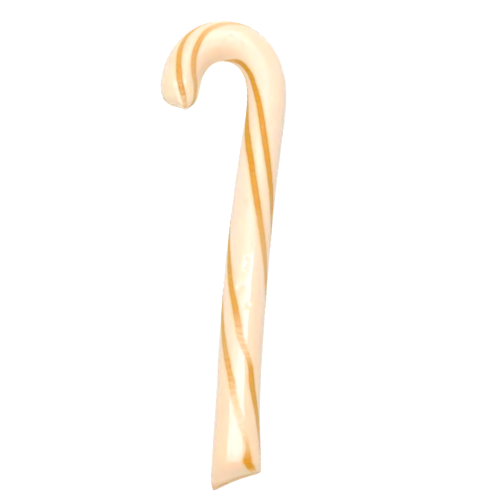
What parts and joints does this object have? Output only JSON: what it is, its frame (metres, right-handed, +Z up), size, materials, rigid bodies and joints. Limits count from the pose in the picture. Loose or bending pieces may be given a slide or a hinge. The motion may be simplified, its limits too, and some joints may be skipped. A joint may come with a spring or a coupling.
{
  "type": "candy cane",
  "caption": "Hand-pulled candy cane of cream sugar with paired amber stripes, bent to a crook and sheared at both ends, lying on its side.",
  "frame": {"origin": "on the table, under the middle of the cane's box", "axes": "+Z up out of the shown side, +Y along the shaft from the foot to the crook, and the crook turns towards -X"},
  "size_m": [0.0408, 0.152, 0.0139],
  "materials": {
    "cream_sugar": "glossy boiled sugar, cream, slightly translucent, with fused amber stripes winding left-handed"
  },
  "bodies": {
    "root": {"cane": "cream_sugar"}
  },
  "joints": []
}
